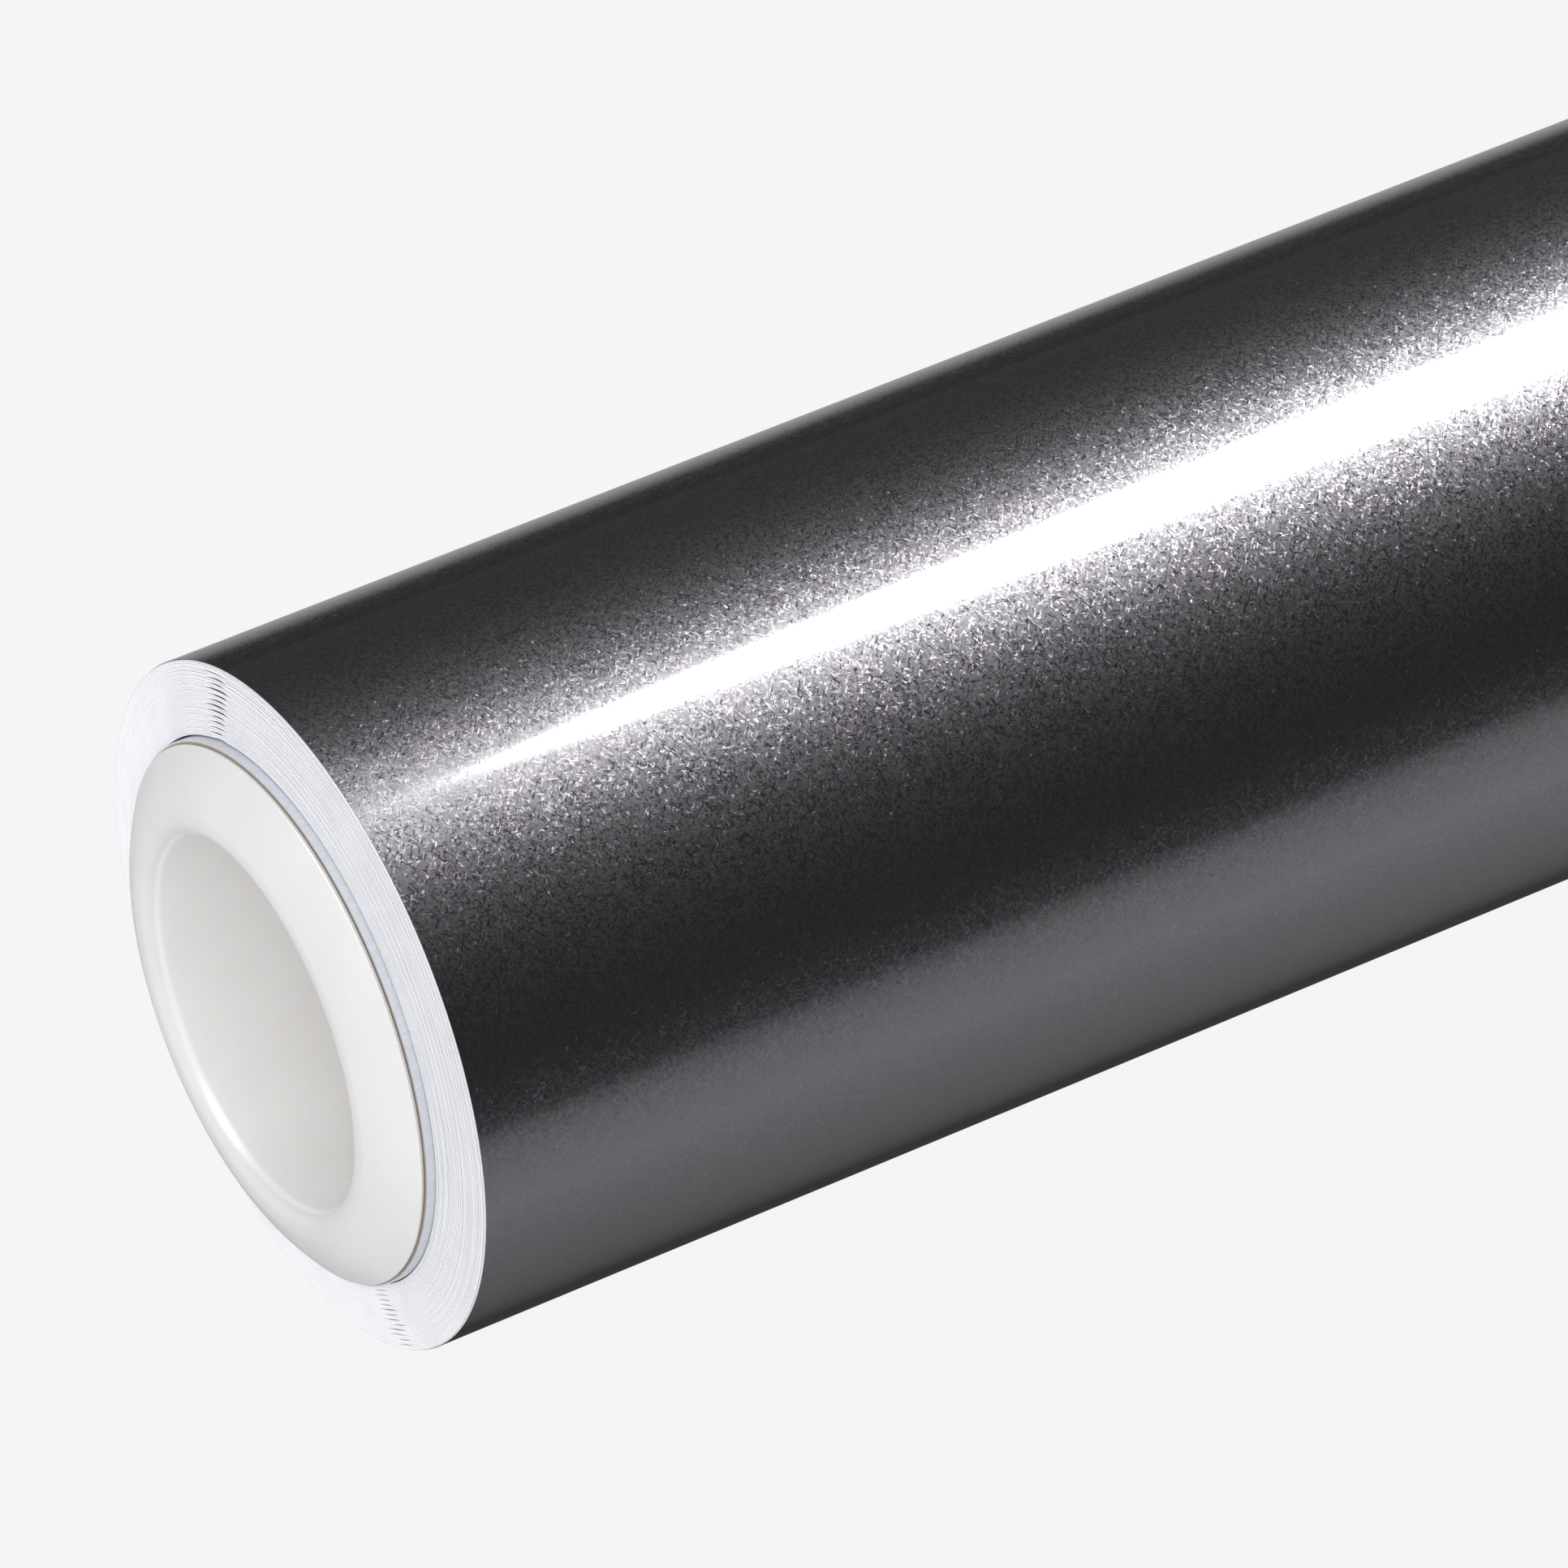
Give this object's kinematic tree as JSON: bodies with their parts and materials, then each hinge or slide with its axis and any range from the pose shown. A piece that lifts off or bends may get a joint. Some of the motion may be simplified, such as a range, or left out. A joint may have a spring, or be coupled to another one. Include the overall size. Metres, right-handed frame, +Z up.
{
  "type": "roll of sign vinyl",
  "caption": "Roll of black metallic self-adhesive sign vinyl on its release liner, wound on a paper core with flanged plastic plugs in both ends and a taped free tail.",
  "frame": {"origin": "middle of the roll, on the core's axis", "axes": "+X along the core's axis towards the far end, +Z up with the roll lying on its side, the free tail on the +Y side"},
  "size_m": [0.6304, 0.1293, 0.1287],
  "materials": {
    "core": "matt spiral-wound kraft paper",
    "plug": "smooth white moulded plastic",
    "film": "glossy black metallic with fine flake",
    "liner": "white coated release paper",
    "windings": "white layered edges of film and liner",
    "tape": "cream masking paper"
  },
  "bodies": {
    "roll": {"core_tube": "core", "start_tape": "tape", "wound_turns": "windings", "outer_turn_liner": "liner", "outer_turn_film": "film"},
    "near_plug": {"near_core_plug": "plug"},
    "far_plug": {"far_core_plug": "plug"},
    "tail": {"tail_liner": "liner", "tail_film": "film"},
    "film_edge": {"tail_edge_film": "film"},
    "tape_near": {"tail_tape_near": "tape"},
    "tape_middle": {"tail_tape_middle": "tape"},
    "tape_far": {"tail_tape_far": "tape"}
  },
  "joints": [
    {"name": "near_plug_pull", "type": "slide", "parent": "roll", "child": "near_plug", "axis": [-1, 0, 0], "range_m": [0, 0.06]},
    {"name": "far_plug_pull", "type": "slide", "parent": "roll", "child": "far_plug", "axis": [1, 0, 0], "range_m": [0, 0.06]},
    {"name": "tail_lift", "type": "hinge", "parent": "roll", "child": "tail", "pos_m": [0, 0.05144, 0.03947], "axis": [1, 0, 0], "range_deg": [0, 70]},
    {"name": "film_peel", "type": "hinge", "parent": "tail", "child": "film_edge", "pos_m": [0, 0.06336, 0.01405], "axis": [1, 0, 0], "range_deg": [0, 120]},
    {"name": "tape_peel_near", "type": "hinge", "parent": "film_edge", "child": "tape_near", "pos_m": [0, 0.06449, -0.01156], "axis": [1, 0, 0], "range_deg": [0, 100]},
    {"name": "tape_peel_middle", "type": "hinge", "parent": "film_edge", "child": "tape_middle", "pos_m": [0, 0.06449, -0.01156], "axis": [1, 0, 0], "range_deg": [0, 100]},
    {"name": "tape_peel_far", "type": "hinge", "parent": "film_edge", "child": "tape_far", "pos_m": [0, 0.06449, -0.01156], "axis": [1, 0, 0], "range_deg": [0, 100]}
  ]
}
